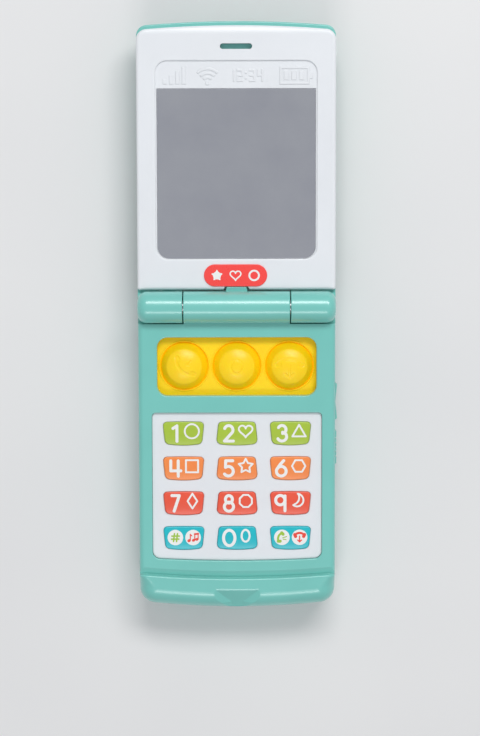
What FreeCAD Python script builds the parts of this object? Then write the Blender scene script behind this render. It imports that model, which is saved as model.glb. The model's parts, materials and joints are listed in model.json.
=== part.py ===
"""Toy flip phone: a keypad base and a mirrored lid on a knuckle hinge, modelled open and flat on its back.

Millimetres. +Z is up out of the keypad, +Y points from the chin to the lid, +X is to the right of the keypad.
The origin is the middle of the flat back of the base.
"""
import FreeCAD, Part

import math
import os

from FreeCAD import Placement, Rotation, Vector

# ---- driving dimensions: outline and heights ----
HALF_WIDTH = 39.5
HINGE_Y = 60.0
FACE_Z = 24.0
CHIN_Z = 25.0
HINGE_Z = 24.6
SEAM_Z = 11.0
WALL = 2.2
FLOOR = 2.0
BASE_LOW_Y = HINGE_Y - 122.7
BASE_HIGH_Y = HINGE_Y + 3.5
CHIN_LINE_Y = HINGE_Y - 110.0
END_SAG = 2.4
CHIN_SAG = 1.8
CORNER_R = 6.5

# ---- hinge ----
BARREL_R = 6.3
BARREL_HALF = 21.2
KNUCKLE_GAP = 0.4
KNUCKLE_X = BARREL_HALF + KNUCKLE_GAP
RELIEF_R = BARREL_R + 0.4
SEAT_R = BARREL_R + 0.6
SEAT_WALL_R = SEAT_R + 1.9
PIN_R = 3.0
PIN_IN_X = 14.6
PIN_OUT_X = 34.2
BUSH_R = 4.6
BUSH_LENGTH = 6.2
BUSH_CLEARANCE = 0.05
TAB_HALF = 3.9
TAB_REACH = 8.1

# ---- lid ----
LID_LOW_Y = HINGE_Y + BARREL_R + 0.5
LID_HIGH_Y = HINGE_Y + 112.9
LID_BACK_Z = 13.0
LID_RIM_Z = 21.0
LID_SAG = 1.8
LID_CORNER_R = 4.2
BEZEL_HALF = 39.5
BEZEL_HIGH_Y = HINGE_Y + 111.2
SCREEN_HALF = 32.0
SCREEN_LOW_Y = HINGE_Y + 19.1
SCREEN_HIGH_Y = HINGE_Y + 97.4
SCREEN_RECESS = 0.8
SCREEN_R = 4.8
MIRROR_HALF = 31.4
MIRROR_HIGH_Y = HINGE_Y + 86.4
MIRROR_THICK = 1.5
TAPE_THICK = 0.3
SLOT_Y = HINGE_Y + 103.0
SLOT_LENGTH = 12.7
SLOT_WIDTH = 2.2
ICON_RELIEF = 0.25

# ---- bubble panel ----
BUBBLE_Y = HINGE_Y - 24.0
BUBBLE_WINDOW = (63.8, 23.5)
BUBBLE_WINDOW_R = 4.2
BUBBLE_PITCH = 21.1
BUBBLE_R = 9.4
BUBBLE_FLOOR_Z = 20.2
BUBBLE_HEIGHT = 4.9
BUBBLE_WALL = 1.2
BUBBLE_CAP_R = 14.0
BUBBLE_SLOPE = 54.0
BUBBLE_GROOVE = 0.45
BUBBLE_TRAVEL = 4.0
BUBBLE_XS = (-BUBBLE_PITCH, 0.0, BUBBLE_PITCH)

# ---- keypad ----
PANEL_HALF = 34.1
PANEL_HIGH_Y = HINGE_Y - 42.6
PANEL_LOW_Y = HINGE_Y - 102.9
PANEL_SAG = 1.0
PLATE_TOP_Z = 22.6
PLATE_THICK = 1.8
KEY_PITCH_X = 21.5
KEY_PITCH_Y = 14.2
KEY_TOP_ROW_Y = HINGE_Y - 51.1
KEY_LONG = 16.6
KEY_SHORT = 14.7
KEY_DEPTH = 9.6
KEY_TOP_Z = 23.4
KEY_CROWN_R = 26.0
KEY_TRAVEL = 1.2
KEY_CLEARANCE = 0.12
KEY_NAMES = (
    ("key_1", "key_2", "key_3"),
    ("key_4", "key_5", "key_6"),
    ("key_7", "key_8", "key_9"),
    ("key_music", "key_0", "key_call"),
)

# ---- boards ----
BOARD_Z = 15.0
BOARD_THICK = 1.6
BOARD_TOP_Z = BOARD_Z + BOARD_THICK
SMALL_BOARD_Z = 10.5
SMALL_BOARD_TOP_Z = SMALL_BOARD_Z + BOARD_THICK
SWITCH_BODY = 6.0
SWITCH_HEIGHT = 1.9

# ---- battery bay ----
BAY_Y = -24.0
BAY_HALF_X = 28.0
BAY_HALF_Y = 13.0
BAY_WALL = 1.2
BAY_TOP_Z = 13.4
DOOR_OUT_Z = 0.3
DOOR_THICK = 1.8
DOOR_GAP = 0.25
DOOR_HUB_R = 3.4
CELL_R = 5.25
CELL_LENGTH = 44.5
CELL_Z = DOOR_OUT_Z + DOOR_THICK + 0.35 + CELL_R
CELL_YS = (BAY_Y - 5.9, BAY_Y + 5.9)
DOOR_SCREW_Y = BAY_Y + BAY_HALF_Y + 4.2
TERMINAL_X = -(BAY_HALF_X + BAY_WALL + 0.8)
TERMINAL_Z = 9.2

# ---- speaker ----
SPEAKER_Y = HINGE_Y - 28.0
SPEAKER_R = 14.0
SPEAKER_HEIGHT = 5.6
SPEAKER_TAB_Z = FLOOR + 3.2
SPEAKER_LEAD_XS = (-2.0, 2.0)

# ---- side controls ----
ROCKER_Y = HINGE_Y - 38.5
ROCKER_AXIS_X = HALF_WIDTH - 3.0
ROCKER_PIVOT_R = 0.75
ROCKER_LENGTH = 14.8
SLIDER_Y = HINGE_Y - 57.2
SLIDER_LENGTH = 13.4
SLIDER_TRAVEL = 3.0
SIDE_Z = 17.5
SIDE_HEIGHT = 4.2

# ---- fasteners ----
CASE_SCREWS = ((-33.8, 48.6), (33.8, 48.6), (-31.0, -53.0), (31.0, -53.0))
BOARD_SCREWS = ((-31.0, 21.5), (31.0, 21.5), (-31.0, -46.2), (31.0, -46.2))
LID_SCREWS = ((-31.5, 73.5), (31.5, 73.5), (-29.0, 162.4), (29.0, 162.4))
SMALL_BOARD_POSTS = ((-29.5, BUBBLE_Y), (29.5, BUBBLE_Y))
SCREW_SHAFT_R = 1.2
SCREW_HEAD_R = 2.1
SCREW_HEAD_HEIGHT = 1.5

FAR = 200.0
TINY = 1e-4


# ---- shape helpers ----
def box(x_low, x_high, y_low, y_high, z_low, z_high):
    """A plain block between two corners."""
    return Part.makeBox(x_high - x_low, y_high - y_low, z_high - z_low, Vector(x_low, y_low, z_low))


def post(x, y, radius, z_low, z_high):
    """A cylinder that stands along Z."""
    return Part.makeCylinder(radius, z_high - z_low, Vector(x, y, z_low), Vector(0, 0, 1))


def bar(radius, x_low, x_high):
    """A cylinder on the hinge axis, which runs along X."""
    return Part.makeCylinder(radius, x_high - x_low, Vector(x_low, HINGE_Y, HINGE_Z), Vector(1, 0, 0))


def both_sides(shape):
    """A shape and its mirror image across the phone's centre plane, as one fused shape."""
    return shape.fuse(shape.mirror(Vector(0, 0, 0), Vector(1, 0, 0)))


def end_edge(start, finish, y_middle):
    """The edge across one end of an outline, bowed so that its middle lies at y_middle."""
    if abs(start.y - y_middle) < TINY:
        return Part.makeLine(start, finish)
    return Part.Arc(start, Vector(0, y_middle, 0), finish).toShape()


def upright_edges(shape):
    """The edges that run along Z."""
    found = []
    for edge in shape.Edges:
        ends = edge.Vertexes
        if len(ends) == 2 and math.hypot(ends[0].X - ends[1].X, ends[0].Y - ends[1].Y) < TINY:
            found.append(edge)
    return found


def level_edges(shape, z):
    """The edges that lie in the plane at height z."""
    return [e for e in shape.Edges if e.BoundBox.ZMin > z - TINY and e.BoundBox.ZMax < z + TINY]


def round_uprights(shape, r_low, r_high):
    """Rounds a slab's vertical corners: r_low at its low-Y end, r_high at its high-Y end."""
    middle = shape.BoundBox.Center.y
    for radius, is_low in ((r_low, True), (r_high, False)):
        if radius:
            edges = [e for e in upright_edges(shape) if (e.Vertexes[0].Y < middle) == is_low]
            shape = shape.makeFillet(radius, edges)
    return shape


def slab(half_width, y_low, y_high, z_low, z_high, sag_low=0, sag_high=0, r_low=0, r_high=0):
    """A flat slab with bowed ends and rounded corners. y_low and y_high are its ends on the centre line."""
    low_left, low_right = Vector(-half_width, y_low + sag_low, 0), Vector(half_width, y_low + sag_low, 0)
    high_left, high_right = Vector(-half_width, y_high - sag_high, 0), Vector(half_width, y_high - sag_high, 0)
    low = end_edge(low_left, low_right, y_low)
    high = end_edge(high_right, high_left, y_high)
    right, left = Part.makeLine(low_right, high_right), Part.makeLine(high_left, low_left)
    face = Part.Face(Part.Wire([low, right, high, left]))
    face.translate(Vector(0, 0, z_low))
    solid = face.extrude(Vector(0, 0, z_high - z_low))
    return round_uprights(solid, r_low, r_high)


def pill(length, width, x, y, z_low, z_high):
    """An upright slot shape with round ends, its length along X."""
    solid = box(x - length / 2, x + length / 2, y - width / 2, y + width / 2, z_low, z_high)
    return solid.makeFillet(width / 2 - TINY, upright_edges(solid))


def prism_yz(points, x_low, x_high):
    """A polygon of (y, z) points drawn out along X."""
    corners = [Vector(x_low, y, z) for y, z in points]
    face = Part.Face(Part.makePolygon(corners + corners[:1]))
    return face.extrude(Vector(x_high - x_low, 0, 0))


def prism_xy(points, z_low, z_high):
    """A polygon of (x, y) points drawn out along Z."""
    corners = [Vector(x, y, z_low) for x, y in points]
    face = Part.Face(Part.makePolygon(corners + corners[:1]))
    return face.extrude(Vector(0, 0, z_high - z_low))


def turned(points, x, y):
    """A profile of (radius, z) points turned about the upright line through x, y."""
    corners = [Vector(x + r, y, z) for r, z in points]
    face = Part.Face(Part.makePolygon(corners + corners[:1]))
    return face.revolve(Vector(x, y, 0), Vector(0, 0, 1), 360)


def vary_rounding(shape, spans):
    """Rounds edges with a radius that changes along each: spans holds (edge number, first and last radius)."""
    document = FreeCAD.newDocument("rounding")
    source = document.addObject("Part::Feature", "source")
    source.Shape = shape
    rounded = document.addObject("Part::Fillet", "rounded")
    rounded.Base = source
    rounded.Edges = spans
    document.recompute()
    result = rounded.Shape.copy()
    FreeCAD.closeDocument(document.Name)
    return result


def tube(points, radius):
    """A round lead of straight runs joined by tangent arcs, each as large as its two runs allow."""
    stops = [Vector(*p) for p in points]
    edges, at = [], stops[0]
    for before, corner, after in zip(stops, stops[1:], stops[2:]):
        back, ahead = before - corner, after - corner
        half_turn = (math.pi - back.getAngle(ahead)) / 2
        reach = 0.45 * min(back.Length, ahead.Length)
        bend = reach / math.tan(half_turn)
        back.normalize()
        ahead.normalize()
        first, last = corner + back * reach, corner + ahead * reach
        inward = back + ahead
        inward.normalize()
        middle = corner + inward * (bend / math.cos(half_turn) - bend)
        edges.append(Part.makeLine(at, first))
        edges.append(Part.Arc(first, middle, last).toShape())
        at = last
    edges.append(Part.makeLine(at, stops[-1]))
    path = Part.Wire(edges)
    start = stops[1] - stops[0]
    circle = Part.Wire(Part.makeCircle(radius, stops[0], start))
    return path.makePipeShell([circle], True, True)


def screw(x, y, head_z, length, up=True):
    """A cross-recess pan-head screw: its head's outer face is at head_z, and its shaft runs up or down."""
    solid = post(0, 0, SCREW_HEAD_R, 0, SCREW_HEAD_HEIGHT)
    solid = solid.makeFillet(0.5, level_edges(solid, 0))
    shaft = post(0, 0, SCREW_SHAFT_R, SCREW_HEAD_HEIGHT, length)
    shaft = shaft.makeChamfer(0.5, level_edges(shaft, length))
    solid = solid.fuse(shaft)
    arm, depth = 1.35, 0.8
    cross = box(-arm, arm, -0.3, 0.3, -1, depth).fuse(box(-0.3, 0.3, -arm, arm, -1, depth))
    solid = solid.cut(cross)
    if not up:
        solid.rotate(Vector(0, 0, 0), Vector(1, 0, 0), 180)
    solid.translate(Vector(x, y, head_z))
    return solid


# ---- base case ----
def chin_block(z_low):
    """The raised end of the base, its top rounding growing from the sides to the middle of the end."""
    side_r, end_r = 2.2, 7.0
    solid = slab(HALF_WIDTH, BASE_LOW_Y, CHIN_LINE_Y, z_low, CHIN_Z, END_SAG, -CHIN_SAG, CORNER_R, 0)
    half = solid.common(box(0, FAR, -FAR, FAR, 0, FAR))
    for number, edge in enumerate(half.Edges, 1):
        if edge.BoundBox.ZMin > CHIN_Z - TINY and edge.BoundBox.XMin > HALF_WIDTH - TINY:
            half = vary_rounding(half, [(number, end_r, side_r)])
            break
    solid = both_sides(half).removeSplitter()
    lip = [e for e in level_edges(solid, CHIN_Z) if e.CenterOfMass.y > CHIN_LINE_Y - TINY]
    return solid.makeFillet(0.8, lip)


def chin_valley():
    """The shallow dip in the face along the chin's bowed edge, as a cutter turned about the bow's centre."""
    bow_r = (HALF_WIDTH**2 + CHIN_SAG**2) / (2 * CHIN_SAG)
    depth, reach = 1.1, 3.0
    low, above = FACE_Z - depth, FACE_Z + 2
    profile = ((0, low), (0.4, low), (reach, FACE_Z), (reach, above), (0, above))
    corners = [Vector(0, CHIN_LINE_Y + d, z) for d, z in profile]
    face = Part.Face(Part.makePolygon(corners + corners[:1]))
    axis = Vector(0, CHIN_LINE_Y + bow_r, 0)
    face.rotate(axis, Vector(0, 0, 1), -6)
    return face.revolve(axis, Vector(0, 0, 1), 12)


def thumb_notch():
    """The flared scoop in the chin for a thumb: an eased brink and a sloping floor between two flanks."""
    y_top, brim = HINGE_Y - 114.2, 6.0
    sections = []
    stations = ((0.0, 0.01, 8.9, 8.89), (0.6, 0.13, 9.0, 8.5), (6.0, 3.6, 10.4, 2.2), (12.2, 7.6, 12.0, 2.2))
    for run, drop, top_half, floor_half in stations:
        y, floor_z = y_top - run, CHIN_Z - drop
        outline = (
            (-top_half, CHIN_Z + brim),
            (top_half, CHIN_Z + brim),
            (top_half, CHIN_Z),
            (floor_half, floor_z),
            (-floor_half, floor_z),
            (-top_half, CHIN_Z),
        )
        corners = [Vector(x, y, z) for x, z in outline]
        sections.append(Part.makePolygon(corners + corners[:1]))
    return Part.makeLoft(sections, True, True)


def base_outer():
    """The closed outer form of the base, both shells together, with no hinge seats."""
    body = slab(HALF_WIDTH, BASE_LOW_Y, BASE_HIGH_Y, 0, FACE_Z, END_SAG, 0, CORNER_R, 3.0)
    body = body.makeFillet(2.2, level_edges(body, FACE_Z))
    body = body.makeFillet(2.5, level_edges(body, 0))
    body = body.cut(chin_valley())
    end_zone = slab(HALF_WIDTH + 1, BASE_LOW_Y - 1, CHIN_LINE_Y, 14, FACE_Z + 2, END_SAG, -CHIN_SAG)
    return body.cut(end_zone).fuse(chin_block(14)).removeSplitter()


def base_cavity():
    """The hollow inside the base."""
    low = BASE_LOW_Y + WALL
    return slab(HALF_WIDTH - WALL, low, BASE_HIGH_Y - WALL, FLOOR, FACE_Z - WALL, END_SAG, 0, CORNER_R - 2, 1.5)


def seam_groove():
    """The fine reveal line around the case where the two shells meet."""
    rings = []
    for grow, half_height in ((1.0, 0.2), (-0.4, 1.0)):
        low, high = BASE_LOW_Y - grow, BASE_HIGH_Y + grow
        z_low, z_high = SEAM_Z - half_height, SEAM_Z + half_height
        rings.append(slab(HALF_WIDTH + grow, low, high, z_low, z_high, END_SAG, 0, CORNER_R, 3))
    return rings[0].cut(rings[1])


def side_slots():
    """The openings in the right wall for the volume rocker and the power slider."""
    half = SIDE_HEIGHT / 2 + 0.2
    rocker_half = ROCKER_LENGTH / 2 + 0.3
    slots = box(30, 45, ROCKER_Y - rocker_half, ROCKER_Y + rocker_half, SIDE_Z - half, SIDE_Z + half)
    low = SLIDER_Y - SLIDER_LENGTH / 2 - SLIDER_TRAVEL - 0.2
    return slots.fuse(box(30, 45, low, SLIDER_Y + SLIDER_LENGTH / 2 + 0.2, SIDE_Z - half, SIDE_Z + half))


def panel_slab(grow, z_low, z_high):
    """The keypad panel's outline, larger by grow on every side."""
    low, high = PANEL_LOW_Y - grow, PANEL_HIGH_Y + grow
    return slab(PANEL_HALF + grow, low, high, z_low, z_high, PANEL_SAG, 0, 3.0, 1.6)


def bubble_slab(grow, z_low, z_high, radius=BUBBLE_WINDOW_R):
    """The bubble window's outline, larger by grow on every side."""
    half_x, half_y = BUBBLE_WINDOW[0] / 2 + grow, BUBBLE_WINDOW[1] / 2 + grow
    return slab(half_x, BUBBLE_Y - half_y, BUBBLE_Y + half_y, z_low, z_high, 0, 0, radius, radius)


def base_front_shell():
    """The upper case: face with its two windows, chin, centre knuckle and the posts for screws and boards."""
    shell = base_outer().cut(base_cavity())
    shell = shell.cut(box(-FAR, FAR, -FAR, FAR, -1, SEAM_Z))
    inside = base_outer().common(box(-FAR, FAR, -FAR, FAR, SEAM_Z, FAR))
    shell = shell.fuse(inside.common(bar(SEAT_WALL_R, -FAR, FAR)))
    shell = shell.fuse(inside.common(box(-12, 12, BASE_LOW_Y - 1, -54.0, 14, FAR)))
    shell = shell.fuse(bubble_slab(1.6, BUBBLE_FLOOR_Z + 0.05, FACE_Z - WALL + 0.5).common(inside))
    shell = shell.fuse(rocker_bearings())
    web_z = HINGE_Z - BARREL_R - 1.0
    web = box(-BARREL_HALF, BARREL_HALF, HINGE_Y - BARREL_R, BASE_HIGH_Y, web_z, HINGE_Z - 0.8)
    barrel = bar(BARREL_R, -BARREL_HALF, BARREL_HALF)
    ends = [e for e in barrel.Edges if e.Length > BARREL_R and abs(e.BoundBox.XLength) < TINY]
    barrel = barrel.makeFillet(0.35, ends)
    shell = shell.cut(both_sides(bar(SEAT_R, BARREL_HALF - TINY, FAR)))
    shell = shell.fuse(web).fuse(barrel).fuse(hinge_tab())
    shell = shell.cut(bar(BUSH_R, -BARREL_HALF - 1, BARREL_HALF + 1))
    shell = shell.cut(bubble_slab(0, BUBBLE_FLOOR_Z - 1, FACE_Z + 4))
    shell = shell.cut(panel_slab(0, FACE_Z - 4, FACE_Z + 4))
    window_edges = [
        e
        for e in level_edges(shell, FACE_Z)
        if abs(e.CenterOfMass.x) < PANEL_HALF + 0.5 and -42.9 < e.CenterOfMass.y < BUBBLE_Y + 12
    ]
    shell = shell.makeFillet(0.5, window_edges)
    for x, y in CASE_SCREWS:
        boss = post(x, y, 3.1, SEAM_Z, FACE_Z - WALL + 0.5).common(inside)
        shell = shell.fuse(boss).cut(post(x, y, SCREW_SHAFT_R, SEAM_Z - 1, SEAM_Z + 9))
    for x, y in BOARD_SCREWS:
        shell = shell.fuse(post(x, y, 2.6, BOARD_TOP_Z, FACE_Z - WALL + 0.5))
        shell = shell.cut(post(x, y, SCREW_SHAFT_R, BOARD_TOP_Z - 1, BOARD_TOP_Z + 4.6))
    shell = shell.cut(thumb_notch()).cut(side_slots()).cut(seam_groove())
    return shell.removeSplitter()


def hinge_tab():
    """The small stop nib on the centre knuckle that fills the notch in the lid when the phone is open."""
    root, tip = HINGE_Y + BARREL_R - 1.2, HINGE_Y + TAB_REACH
    lean = 0.8
    plan = ((-TAB_HALF - lean, root), (TAB_HALF + lean, root), (TAB_HALF, tip), (-TAB_HALF, tip))
    tab = prism_xy(plan, FACE_Z - 1.8, FACE_Z + 0.1)
    return tab.makeFillet(0.4, level_edges(tab, FACE_Z + 0.1))


def speaker_grille(z_low, z_high):
    """Rings of round sound holes over the speaker."""
    holes = [post(0, SPEAKER_Y, 1.1, z_low, z_high)]
    for count, ring_r in ((6, 3.8), (12, 7.6)):
        for i in range(count):
            angle = 2 * math.pi * i / count
            x, y = ring_r * math.cos(angle), SPEAKER_Y + ring_r * math.sin(angle)
            holes.append(post(x, y, 1.1, z_low, z_high))
    return Part.makeCompound(holes)


def door_outline(grow, z_low, z_high):
    """The battery door's plan: a rectangle with a round lobe for its screw."""
    half_x, half_y = BAY_HALF_X + grow, BAY_HALF_Y + grow
    plate = slab(half_x, BAY_Y - half_y, BAY_Y + half_y, z_low, z_high, 0, 0, 2.0, 2.0)
    lobe = post(0, DOOR_SCREW_Y, 5.0 + grow, z_low, z_high)
    return plate.fuse(lobe).removeSplitter()


def base_back_shell():
    """The lower case: flat back, battery bay, speaker seat and screw wells."""
    outer = base_outer().common(box(-FAR, FAR, -FAR, FAR, -1, SEAM_Z))
    shell = outer.cut(base_cavity())
    wall_x, wall_y = BAY_HALF_X + BAY_WALL, BAY_HALF_Y + BAY_WALL
    bay = slab(wall_x, BAY_Y - wall_y, BAY_Y + wall_y, 0.5, BAY_TOP_Z + BAY_WALL, 0, 0, 2.5, 2.5)
    shell = shell.fuse(bay)
    shell = shell.fuse(post(0, DOOR_SCREW_Y, 6.2, FLOOR - 0.5, 9.0))
    half_x, half_y = BAY_HALF_X - 0.8, BAY_HALF_Y - 0.8
    shell = shell.cut(slab(half_x, BAY_Y - half_y, BAY_Y + half_y, -1, BAY_TOP_Z))
    door_top = DOOR_OUT_Z + DOOR_THICK
    shell = shell.cut(door_outline(0, -1, door_top + 0.05))
    shell = shell.cut(post(0, DOOR_SCREW_Y, DOOR_HUB_R + 0.2, 0, door_top + 1.1))
    shell = shell.cut(post(0, DOOR_SCREW_Y, SCREW_SHAFT_R + 0.1, 0, 8.6))
    tab_low, tab_high = TERMINAL_Z - 0.4, TERMINAL_Z + 0.4
    for y in CELL_YS:
        shell = shell.cut(box(-wall_x - 1, -BAY_HALF_X + 1, y - 1.0, y + 1.0, tab_low, tab_high))
    seat = post(0, SPEAKER_Y, SPEAKER_R + 1.6, FLOOR - 0.5, 5.5)
    seat = seat.cut(post(0, SPEAKER_Y, SPEAKER_R + 0.1, FLOOR, 6))
    shell = shell.fuse(seat).cut(speaker_grille(-1, FLOOR + 1))
    for x, y in CASE_SCREWS:
        shell = shell.fuse(post(x, y, 3.9, FLOOR - 0.5, SEAM_Z).common(outer))
        shell = shell.cut(post(x, y, SCREW_HEAD_R + 0.5, -1, 6.0))
        shell = shell.cut(post(x, y, SCREW_SHAFT_R + 0.2, 5, SEAM_Z + 1))
    for x, y in SMALL_BOARD_POSTS:
        shell = shell.fuse(post(x, y, 2.4, FLOOR - 0.5, SMALL_BOARD_Z))
        shell = shell.cut(post(x, y, SCREW_SHAFT_R, SMALL_BOARD_Z - 5.4, SMALL_BOARD_Z + 1))
    return shell.cut(seam_groove()).removeSplitter()


def battery_door():
    """The lift-off battery door with its screw lobe, finger ribs and locating ribs."""
    top = DOOR_OUT_Z + DOOR_THICK
    door = door_outline(-DOOR_GAP, DOOR_OUT_Z, top)
    door = door.makeFillet(0.5, level_edges(door, DOOR_OUT_Z))
    for side in (-1, 1):
        x = side * (BAY_HALF_X - 2.6)
        door = door.fuse(box(x - 0.6, x + 0.6, BAY_Y - 9, BAY_Y + 9, top - 0.2, top + 1.2))
    for i in range(5):
        y = BAY_Y - 9.0 + 1.8 * i
        door = door.cut(pill(18, 0.8, 0, y, DOOR_OUT_Z - 1, DOOR_OUT_Z + 0.35))
    door = door.fuse(post(0, DOOR_SCREW_Y, DOOR_HUB_R, top - 0.2, top + 1.0))
    door = door.cut(post(0, DOOR_SCREW_Y, SCREW_HEAD_R + 0.3, -1, DOOR_OUT_Z + SCREW_HEAD_HEIGHT))
    return door.cut(post(0, DOOR_SCREW_Y, SCREW_SHAFT_R + 0.1, -1, 9)).removeSplitter()


# ---- hinge ----
def hinge_bushes():
    """The two plain bearings pressed into the ends of the centre knuckle."""
    start = BARREL_HALF - BUSH_LENGTH
    ring = bar(BUSH_R, start, BARREL_HALF).cut(bar(PIN_R + BUSH_CLEARANCE, start - 1, BARREL_HALF + 1))
    return ring


def hinge_pin():
    """The right hinge pin: fixed in the outer knuckle, turning in the bush."""
    pin = bar(PIN_R, PIN_IN_X, PIN_OUT_X)
    return pin.makeChamfer(0.5, [e for e in pin.Edges if e.BoundBox.XLength < TINY])


# ---- lid ----
def lid_knuckle():
    """The right outer knuckle and the arm that carries it from the lid."""
    barrel = bar(BARREL_R, KNUCKLE_X, HALF_WIDTH)
    outer_end = [e for e in barrel.Edges if e.BoundBox.XMin > HALF_WIDTH - TINY]
    inner_end = [e for e in barrel.Edges if e.BoundBox.XMax < KNUCKLE_X + TINY]
    barrel = barrel.makeFillet(3.6, outer_end).makeFillet(0.35, inner_end)
    profile = (
        (HINGE_Y + 2, HINGE_Z),
        (HINGE_Y + 4.1, HINGE_Z - 5.0),
        (HINGE_Y + 8.5, LID_BACK_Z),
        (HINGE_Y + 13, LID_BACK_Z),
        (HINGE_Y + 13, LID_RIM_Z),
        (HINGE_Y + 6, LID_RIM_Z),
    )
    arm = prism_yz(profile, KNUCKLE_X, HALF_WIDTH)
    outer = [e for e in arm.Edges if e.BoundBox.XMin > HALF_WIDTH - TINY]
    corner = [e for e in outer if e.BoundBox.ZMax < LID_RIM_Z - TINY]
    return barrel.fuse(arm.makeFillet(2.0, corner))


def lid_relief():
    """The room cut from the lid's end for the centre knuckle and its nib, over the whole swing."""
    low = HINGE_Y - 1
    room = bar(RELIEF_R, -KNUCKLE_X, KNUCKLE_X)
    root, tip = TAB_HALF + 1.5, TAB_HALF + 0.5
    mouth, end = HINGE_Y + 6.6, HINGE_Y + TAB_REACH + 0.4
    plan = ((-root, low), (root, low), (root, mouth), (tip, end), (-tip, end), (-root, mouth))
    return room.fuse(prism_xy(plan, 14, 30))


def lid_back_shell():
    """The lid's outer cover with both outer knuckles."""
    shell = slab(HALF_WIDTH, LID_LOW_Y, LID_HIGH_Y, LID_BACK_Z, LID_RIM_Z, 0, LID_SAG, 1.5, LID_CORNER_R)
    shell = shell.makeFillet(3.6, level_edges(shell, LID_BACK_Z))
    rim = [e for e in level_edges(shell, LID_RIM_Z) if e.CenterOfMass.y > LID_LOW_Y + 1]
    shell = shell.makeFillet(0.6, rim)
    knuckles = both_sides(lid_knuckle())
    shell = shell.fuse(knuckles)
    low, high = LID_LOW_Y + WALL, LID_HIGH_Y - WALL
    shell = shell.cut(slab(HALF_WIDTH - WALL, low, high, LID_BACK_Z + WALL, LID_RIM_Z + 1, 0, LID_SAG, 1.5, 3.5))
    shell = shell.fuse(box(-9, 9, SLOT_Y - 3, SLOT_Y + 3, LID_BACK_Z + 1, LID_RIM_Z - 0.4))
    shell = shell.cut(both_sides(bar(PIN_R, KNUCKLE_X - 1, PIN_OUT_X)))
    for x, y in LID_SCREWS:
        shell = shell.fuse(post(x, y, 3.4, LID_BACK_Z + 1, LID_BACK_Z + 3.4))
        shell = shell.cut(post(x, y, SCREW_HEAD_R + 0.3, LID_BACK_Z - 1, LID_BACK_Z + 2.2))
        shell = shell.cut(post(x, y, SCREW_SHAFT_R + 0.2, LID_BACK_Z, LID_BACK_Z + 4))
    return shell.cut(lid_relief()).removeSplitter()


def status_icons(z_low, z_high):
    """The raised marks above the screen: signal bars, radio waves, clock digits and a charge gauge."""
    y_mid = HINGE_Y + 91.6
    marks = []
    for i in range(4):
        height = 2.0 + 1.6 * i
        x = -28.9 + 2.5 * i
        marks.append(box(x, x + 1.5, y_mid - 3.4, y_mid - 3.4 + height, z_low, z_high))
    marks += wave_marks(-11.3, y_mid - 3.0, z_low, z_high)
    marks += clock_digits(3.9, y_mid, z_low, z_high)
    frame = box(17.2, 29.0, y_mid - 3.5, y_mid + 3.5, z_low, z_high)
    frame = frame.cut(box(18.1, 28.1, y_mid - 2.6, y_mid + 2.6, z_low - 1, z_high + 1))
    marks.append(frame.fuse(box(29.0, 30.2, y_mid - 1.3, y_mid + 1.3, z_low, z_high)))
    for i in range(3):
        x = 18.9 + 3.0 * i
        marks.append(box(x, x + 1.9, y_mid - 1.8, y_mid + 1.8, z_low, z_high))
    return marks


def wave_marks(x, y, z_low, z_high):
    """A dot and three arcs above it, each a quarter of a ring."""
    marks = [post(x, y, 0.8, z_low, z_high)]
    for r in (2.2, 3.9, 5.6):
        ring = post(x, y, r + 0.45, z_low, z_high).cut(post(x, y, r - 0.45, z_low, z_high))
        side = 9 / math.sqrt(2)
        quarter = ((x, y), (x + side, y + side), (x, y + 2 * side), (x - side, y + side))
        wedge = prism_xy(quarter, z_low, z_high)
        marks.append(ring.common(wedge))
    return marks


def clock_digits(x_mid, y_mid, z_low, z_high):
    """The clock reading 12:34 in seven-segment strokes."""
    width, height, stroke = 2.4, 4.8, 0.7
    strokes = {
        "top": (0, width, height - stroke, height),
        "middle": (0, width, (height - stroke) / 2, (height + stroke) / 2),
        "bottom": (0, width, 0, stroke),
        "upper_left": (0, stroke, height / 2, height),
        "upper_right": (width - stroke, width, height / 2, height),
        "lower_left": (0, stroke, 0, height / 2),
        "lower_right": (width - stroke, width, 0, height / 2),
    }
    digits = (
        (-6.8, ("upper_right", "lower_right")),
        (-3.6, ("top", "upper_right", "middle", "lower_left", "bottom")),
        (1.2, ("top", "upper_right", "middle", "lower_right", "bottom")),
        (4.4, ("upper_left", "upper_right", "middle", "lower_right")),
    )
    marks = []
    for x, names in digits:
        left, low = x_mid + x, y_mid - height / 2
        spans = [strokes[name] for name in names]
        parts = [box(left + a, left + b, low + c, low + d, z_low, z_high) for a, b, c, d in spans]
        marks.append(parts[0].multiFuse(parts[1:]).removeSplitter())
    for dy in (-1.1, 1.1):
        marks.append(post(x_mid, y_mid + dy, 0.45, z_low, z_high))
    return marks


def bezel_roll():
    """What comes off the bezel so that its face rolls down gently to its far end."""
    roll_r, start = 7.0, BEZEL_HIGH_Y - 3.6
    block = box(-FAR, FAR, start, start + 20, FACE_Z - 6, FACE_Z + 5)
    return block.cut(Part.makeCylinder(roll_r, 2 * FAR, Vector(-FAR, start, FACE_Z - roll_r), Vector(1, 0, 0)))


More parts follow.
